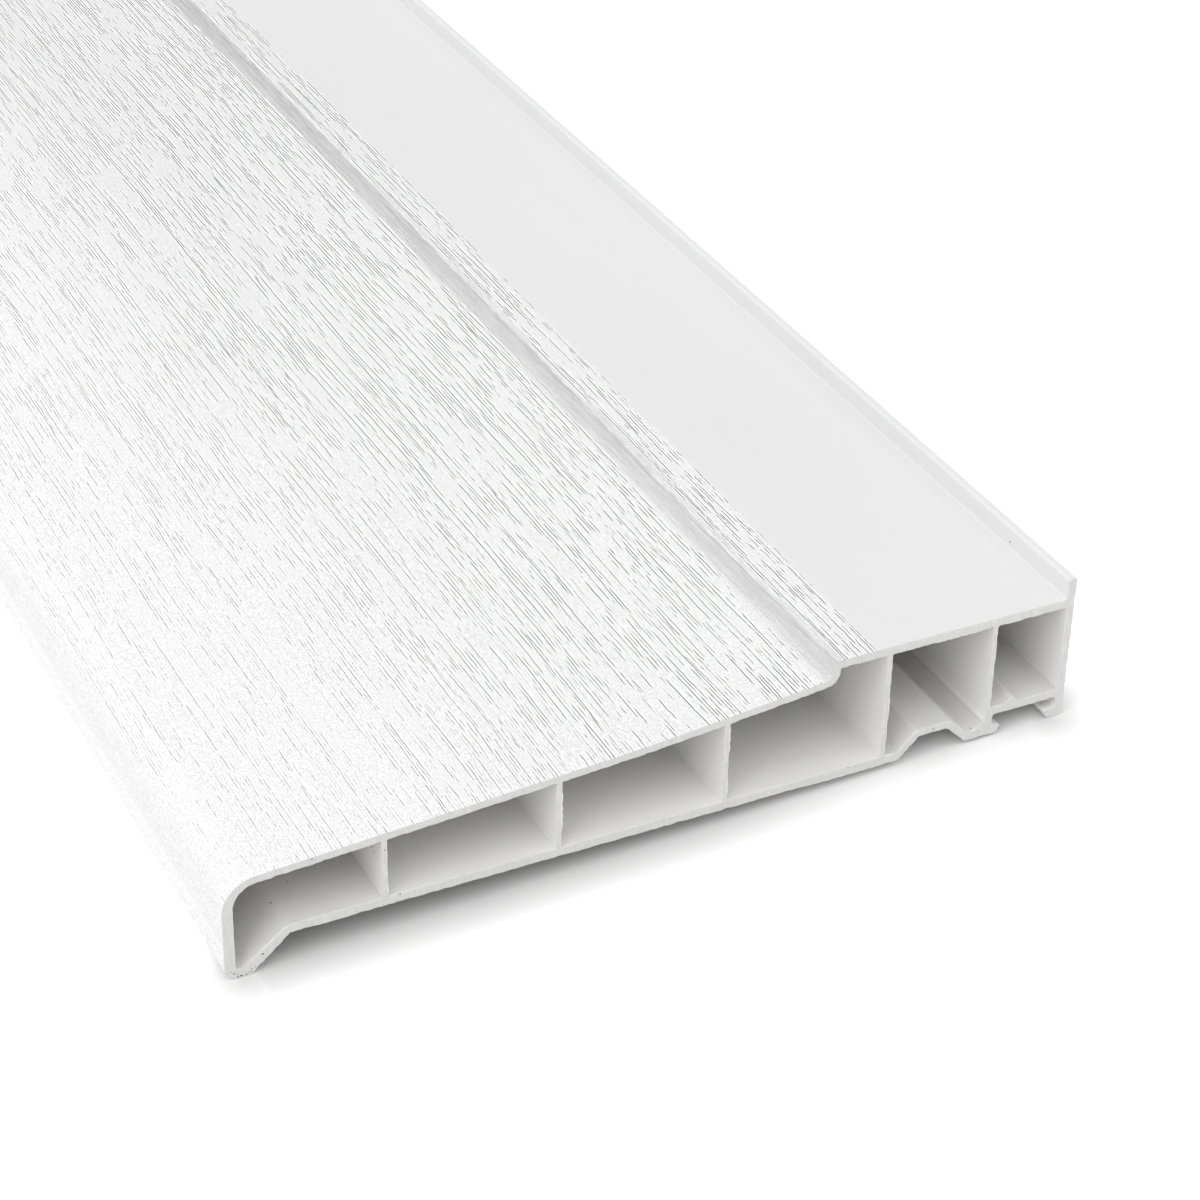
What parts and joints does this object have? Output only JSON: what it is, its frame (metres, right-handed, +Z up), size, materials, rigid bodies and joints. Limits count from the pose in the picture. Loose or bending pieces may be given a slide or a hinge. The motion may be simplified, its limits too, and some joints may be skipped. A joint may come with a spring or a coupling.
{
  "type": "window sill board",
  "caption": "White hollow plastic window sill board with a drip nose, sloped woodgrain face, stepped seat for the window frame, rear upstand and clip channel.",
  "frame": {"origin": "middle of the bottom of the box, on the floor under the middle of the board", "axes": "+X along the length, +Y from the drip nose back to the upstand, +Z up from the floor that the board lies on"},
  "size_m": [1.25, 0.2266, 0.0408],
  "materials": {
    "white_pvc": "satin"
  },
  "bodies": {
    "root": {"sill_board": "white_pvc"}
  },
  "joints": []
}
